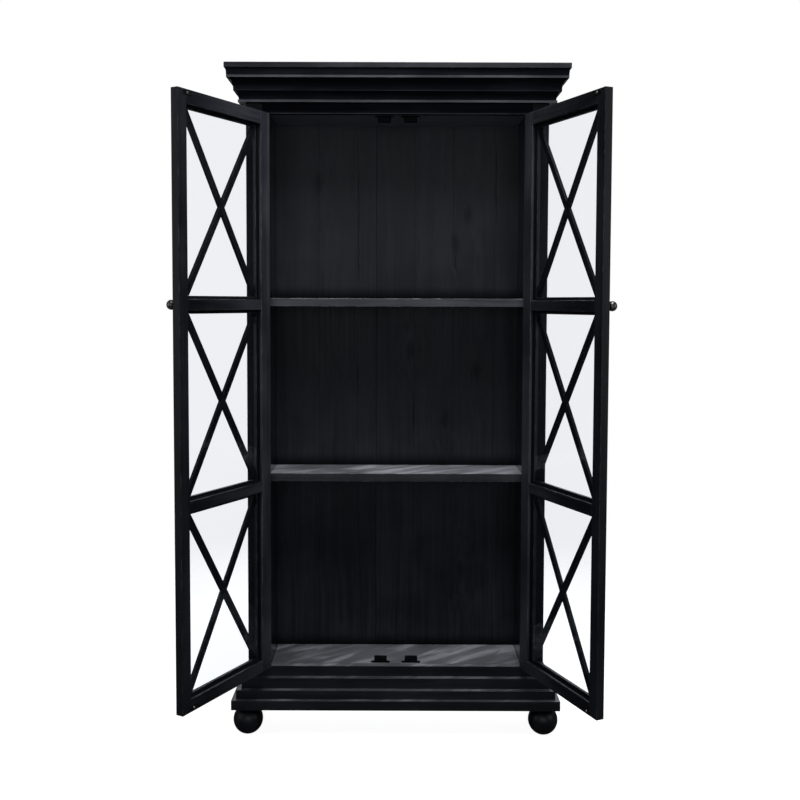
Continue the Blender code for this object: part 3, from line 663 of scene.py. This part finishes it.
def make_bars(door, row, material):
    """Two bars from corner to corner. One runs through, and the other is halved into it in the middle."""
    low, high = door.reach(f"crossed_bars_{row}")
    width, height = high.x - low.x, high.z - low.z
    slope = math.atan2(height, width)
    across, along = BAR_WIDTH / 2 / math.sin(slope), BAR_WIDTH / 2 / math.cos(slope)
    step_x, step_z = BAR_JOINT * math.cos(slope), BAR_JOINT * math.sin(slope)
    middle_x, middle_z = width / 2, height / 2
    through = (
        (0, 0), (across, 0), (width, height - along),
        (width, height), (width - across, height), (0, along),
    )
    falling = (
        (width, 0), (width, along), (middle_x + across + step_x, middle_z - step_z),
        (middle_x + step_x, middle_z - along - step_z), (width - across, 0),
    )
    rising = [(width - x, height - z) for x, z in falling]
    shape = bmesh.new()
    for outline in (through, falling, rising):
        points = [(low.x - door.edge + x, low.z + z) for x, z in outline]
        add_loft(shape, [[door.point(x, y - door.face, z) for x, z in points] for y in (low.y, high.y)])
    name = f"{door.side}_bars_{row}"
    nodes = [f"{door.side}_door_crossed_bars_{row}"]
    piece(name, mesh_of(name, shape), door.body, material, nodes, soft=0.0008, segments=3)


def make_seal(door, row, material):
    """A thin bead in the corner between the pane and the frame, behind the pane."""
    low, high = door.reach(f"glass_{row}")
    left, right = low.x - SEAL_GAP - door.edge, high.x + SEAL_GAP - door.edge
    bottom, top = low.z - SEAL_GAP, high.z + SEAL_GAP
    back = high.y - door.face + 0.0001
    reach = SEAL_GAP + SEAL
    section = ((0, 0), (reach, 0), (SEAL * 0.6 + SEAL_GAP, SEAL * 0.35), (SEAL_GAP, SEAL), (0, SEAL))
    corners = ((left, bottom, 1, 1), (right, bottom, -1, 1), (right, top, -1, -1), (left, top, 1, -1))
    rings = []
    for x, z, in_x, in_z in corners:
        rings.append([door.point(x + in_x * step, back + rise, z + in_z * step) for step, rise in section])
    shape = bmesh.new()
    add_loop(shape, rings)
    name = f"{door.side}_glazing_seal_{row}"
    piece(name, mesh_of(name, shape), door.body, material)


def make_knob(door, material):
    low, high = door.reach("knob")
    radius, centre = KNOB_HEAD
    head = arc((0, centre), radius, *KNOB_HEAD_ARC, 30)
    shape = bmesh.new()
    spin = door.spin((low.x + high.x) / 2 - door.edge, 0, (low.z + high.z) / 2, math.pi)
    add_turned(shape, [*KNOB_PROFILE, *head, (0, head[-1][1] + KNOB_DOME)], spin, 64)
    name = f"{door.side}_turned_knob"
    piece(name, mesh_of(name, shape), door.body, material, [f"{door.side}_door_knob"])


def make_strikes(door, zinc, steel):
    """A plate at the top and one at the bottom of the inner face, for the magnets, each with one screw."""
    low, high = door.reach("hinge_stile")
    outline = rounded(PLATE[0] / 2, PLATE[1] / 2, PLATE_CORNER)
    depths = (door.thickness, door.thickness + PLATE[2])
    for level, middle in (("lower", low.z + PLATE_FROM_END), ("upper", high.z - PLATE_FROM_END)):
        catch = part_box(f"catch_{level}_{door.side}")
        across = abs((catch[0].x + catch[1].x) / 2 - door.matrix.translation.x) - door.edge
        shape = bmesh.new()
        add_loft(shape, [[door.point(across + x, deep, middle + z) for x, z in outline] for deep in depths])
        name = f"{door.side}_strike_plate_{level}"
        piece(name, mesh_of(name, shape), door.body, steel, soft=0.0003)
        shape = bmesh.new()
        add_screw(shape, door.spin(across, depths[1], middle), *STRIKE_SCREW)
        name = f"{door.side}_strike_screw_{level}"
        piece(name, mesh_of(name, shape), door.body, zinc)


# --- hinges and catches ---------------------------------------------------------------------------------
KNUCKLE_RADIUS = 0.0032
KNUCKLE_EASE = 0.0003
LEAF_NEAR, LEAF_FAR = 0.00075, 0.00225  # the leaf's two faces, sideways from the axis
LEAF_REACH = 0.0215
LEAF_START = 0.0038
LEAF_ROOT = 0.0012  # how deep a leaf runs into its knuckles
LEAF_SCREW_INSET = 0.011  # from the leaf's ends
LEAF_SCREW_DEPTHS = (0.0145, 0.0110)  # behind the axis: the outer two, and the middle one
LEAF_SCREW = (0.0028, 0.0002)  # (radius, rise) of its head
FLANGE_HEIGHT = 0.0022
FLANGE_CORNER = 0.0055
HOUSING_HALF = 0.019
HOUSING_CORNER = 0.0012
POLE_HALF = 0.0140
POLE_HEIGHTS = (0.0070, 0.0125)
POLE_THICKNESS = 0.0010
POLE_PROUD, POLE_DEEP = 0.0005, 0.0020  # in front of the housing's front, and behind it
CATCH_SCREW_SPREAD = 0.0238
CATCH_SCREW = (0.0029, 0.0009)  # (radius, rise) of its head


def knuckle(shape, spin, low, high):
    eased = KNUCKLE_RADIUS - KNUCKLE_EASE
    outline = [(0, low), (eased, low), (KNUCKLE_RADIUS, low + KNUCKLE_EASE)]
    outline += [(KNUCKLE_RADIUS, high - KNUCKLE_EASE), (eased, high), (0, high)]
    add_turned(shape, outline, spin, 40)


def make_hinge_half(door, level, on_door, steel):
    """A leaf with its knuckles and three screws, on the post or on the door."""
    low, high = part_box(f"hinge_frame_{door.side}_{level}")
    length = high.z - low.z
    if on_door:
        origin, side, body = door.matrix, -door.sign, door.body
        spans = ((length / 4 + TOUCH, length * 3 / 4 - TOUCH),)
        owner, node = "door", f"{door.side}_door_hinge_leaf_{level}"
    else:
        origin, side, body = Matrix.Translation(door.matrix.translation), door.sign, "case"
        spans = ((0, length / 4 - TOUCH), (length * 3 / 4 + TOUCH, length))
        owner, node = "post", f"hinge_frame_{door.side}_{level}"
    spin = origin @ Matrix.Translation((0, 0, low.z))
    ends = sorted((side * LEAF_NEAR, side * LEAF_FAR))
    shape = bmesh.new()
    add_box(shape, (ends[0], LEAF_START, 0), (ends[1], LEAF_REACH, length), spin)
    for start, end in spans:
        knuckle(shape, spin, start, end)
        add_box(shape, (ends[0], KNUCKLE_RADIUS - LEAF_ROOT, start), (ends[1], LEAF_START, end), spin)
    name = f"hinge_{owner}_{door.side}_{level}"
    piece(name, mesh_of(name, shape), body, steel, [node], soft=0.0002)

    outer, inner = LEAF_SCREW_DEPTHS
    turn = Matrix.Rotation(-side * math.pi / 2, 4, "Y")
    shape = bmesh.new()
    for height, deep in ((LEAF_SCREW_INSET, outer), (length / 2, inner), (length - LEAF_SCREW_INSET, outer)):
        spot = Matrix.Translation((side * LEAF_NEAR, deep, height)) @ turn
        add_screw(shape, spin @ spot, *LEAF_SCREW)
    name = f"hinge_screws_{owner}_{door.side}_{level}"
    piece(name, mesh_of(name, shape), body, steel)


def make_catch(level, side, plastic, steel):
    """A magnetic catch: a round-ended flange, its housing, the magnet's pole plates, and two screws."""
    node = f"catch_{level}_{side}"
    low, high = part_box(node)
    up = 1 if level == "lower" else -1
    base = low.z if up > 0 else high.z
    centre, middle = (low.x + high.x) / 2, (low.y + high.y) / 2
    half_x, half_y, tall = (high.x - low.x) / 2, (high.y - low.y) / 2, high.z - low.z
    flange = (rounded(half_x, half_y, FLANGE_CORNER), (0, FLANGE_HEIGHT))
    housing = (rounded(HOUSING_HALF, half_y, HOUSING_CORNER, 3), (FLANGE_HEIGHT, tall))
    shape = bmesh.new()
    for outline, heights in (flange, housing):
        add_loft(shape, [[(centre + x, middle + y, base + up * z) for x, y in outline] for z in heights])
    name = f"magnetic_catch_{level}_{side}"
    piece(name, mesh_of(name, shape), "case", plastic, [node], soft=0.0006)

    shape = bmesh.new()
    for height in POLE_HEIGHTS:
        bottom, top = sorted((base + up * height, base + up * (height + POLE_THICKNESS)))
        near, far = low.y - POLE_PROUD, low.y + POLE_DEEP
        add_box(shape, (centre - POLE_HALF, near, bottom), (centre + POLE_HALF, far, top))
    turn = Matrix.Rotation(0 if up > 0 else math.pi, 4, "X")
    for x in (-CATCH_SCREW_SPREAD, CATCH_SCREW_SPREAD):
        spot = Matrix.Translation((centre + x, middle, base + up * FLANGE_HEIGHT)) @ turn
        add_screw(shape, spot, *CATCH_SCREW)
    name = f"catch_poles_and_screws_{level}_{side}"
    piece(name, mesh_of(name, shape), "case", steel)


def make_fittings(doors):
    pewter = metal("dark_pewter", (0.30, 0.29, 0.285), 0.30, (0.040, 0.038, 0.038))
    steel = metal("blackened_steel", (0.045, 0.045, 0.049), 0.45, (0.016, 0.016, 0.018))
    zinc = metal("zinc_plate", (0.78, 0.78, 0.79), 0.32, (0.50, 0.50, 0.51))
    plastic = moulded_plastic("catch_plastic", (0.004, 0.004, 0.005))
    silicone = moulded_plastic("black_silicone", (0.004, 0.004, 0.005))
    for side, door in doors.items():
        bars = lacquer(f"lacquer_{side}_bars", "Z", door, bloom_and_sheen=0.04, rub=0.5, gloss=0.28)
        for row in LEVELS:
            make_bars(door, row, bars)
            make_seal(door, row, silicone)
        make_knob(door, pewter)
        make_strikes(door, zinc, steel)
        for level in ("lower", "upper"):
            make_catch(level, side, plastic, steel)
            for on_door in (False, True):
                make_hinge_half(door, level, on_door, steel)


# --- the studio -----------------------------------------------------------------------------------------
def camera():
    lens = bpy.data.cameras.new("camera")
    lens.sensor_width = 36.0
    lens.lens = 42.94
    lens.shift_x = 0.0073
    lens.shift_y = -0.0595
    lens.clip_end = 100.0
    made = bpy.data.objects.new("camera", lens)
    made.location = (0.0104, -2.743, 1.302)
    made.rotation_euler = (math.radians(90 - 3.01), math.radians(-0.18), math.radians(0.05))
    bpy.context.scene.collection.objects.link(made)
    bpy.context.scene.camera = made


def area_light(name, location, aim, size, watts, colour=(1.0, 1.0, 1.0)):
    lamp = bpy.data.lights.new(name, "AREA")
    lamp.shape = "RECTANGLE"
    lamp.size, lamp.size_y = size
    lamp.energy = watts
    lamp.color = colour
    made = bpy.data.objects.new(name, lamp)
    made.location = location
    made.rotation_euler = (Vector(aim) - Vector(location)).to_track_quat("-Z", "Y").to_euler()
    made.visible_camera = False
    bpy.context.scene.collection.objects.link(made)
    return made


def studio():
    """A pale floor that runs out into a white surround, and large soft lamps."""
    world = bpy.data.worlds.new("studio")
    bpy.context.scene.world = world
    world.use_nodes = True
    tree = world.node_tree
    tree.nodes.clear()
    output = tree.nodes.new("ShaderNodeOutputWorld")
    path = tree.nodes.new("ShaderNodeLightPath")
    mixed = tree.nodes.new("ShaderNodeMixShader")
    seen, lit = tree.nodes.new("ShaderNodeBackground"), tree.nodes.new("ShaderNodeBackground")
    seen.inputs["Color"].default_value = (1.0, 1.0, 1.0, 1.0)
    lit.inputs["Color"].default_value = (0.93, 0.96, 1.0, 1.0)
    lit.inputs["Strength"].default_value = 0.07
    tree.links.new(path.outputs["Is Camera Ray"], mixed.inputs["Fac"])
    tree.links.new(lit.outputs[0], mixed.inputs[1])
    tree.links.new(seen.outputs[0], mixed.inputs[2])
    tree.links.new(mixed.outputs[0], output.inputs["Surface"])

    s = Shader("pale_floor")
    around = s.vector("LENGTH", s.node("ShaderNodeTexCoord", output=3), output=1)
    white = s.node("ShaderNodeEmission", Color=(1.0, 1.0, 1.0, 1.0), Strength=0.93)
    pale = s.node("ShaderNodeBsdfDiffuse", Color=(0.80, 0.80, 0.80, 1.0))
    lit_floor = s.node("ShaderNodeAddShader")
    s.wire(white, lit_floor.node.inputs[0])
    s.wire(pale, lit_floor.node.inputs[1])
    dim = s.node("ShaderNodeBsdfDiffuse", Color=(0.12, 0.12, 0.13, 1.0))
    for_camera = s.node("ShaderNodeMixShader", Fac=s.node("ShaderNodeLightPath"))
    s.wire(dim, for_camera.node.inputs[1])
    s.wire(lit_floor, for_camera.node.inputs[2])
    faded = s.node("ShaderNodeMixShader", Fac=s.ease(around, 1.0, 2.6))
    s.wire(for_camera, faded.node.inputs[1])
    s.wire(s.node("ShaderNodeBsdfTransparent"), faded.node.inputs[2])
    s.wire(faded, s.output.inputs["Surface"])
    s.tree.nodes.remove(s.surface)

    shape = bmesh.new()
    bmesh.ops.create_circle(shape, cap_ends=True, radius=3.0, segments=64)
    mesh = mesh_of("floor", shape)
    mesh.materials.append(s.material)
    floor = bpy.data.objects.new("floor", mesh)
    floor.location = (0.0, 0.1, 0.0)
    bpy.context.scene.collection.objects.link(floor)

    area_light("top_light", (0.35, -0.75, 3.4), (0.0, 0.0, 1.2), (1.8, 0.9), 50)
    area_light("front_light", (0.0, -3.3, 1.3), (0.0, 0.0, 1.2), (3.2, 1.8), 10, (0.88, 0.94, 1.0))
    for side, sign in SIDES.items():
        area_light(f"{side}_light", (sign * 2.9, -1.2, 1.7), (0.0, 0.1, 1.2), (1.6, 2.4), 6)
    area_light("rear_light", (0.0, 3.2, 2.4), (0.0, 0.2, 1.0), (3.0, 2.0), 32)
    bpy.context.scene.view_settings.view_transform = "Standard"


def main():
    doors = {side: DoorFrame(side) for side in SIDES}
    paint_nodes(doors)
    make_mouldings()
    make_feet()
    make_fittings(doors)
    studio()
    camera()


main()
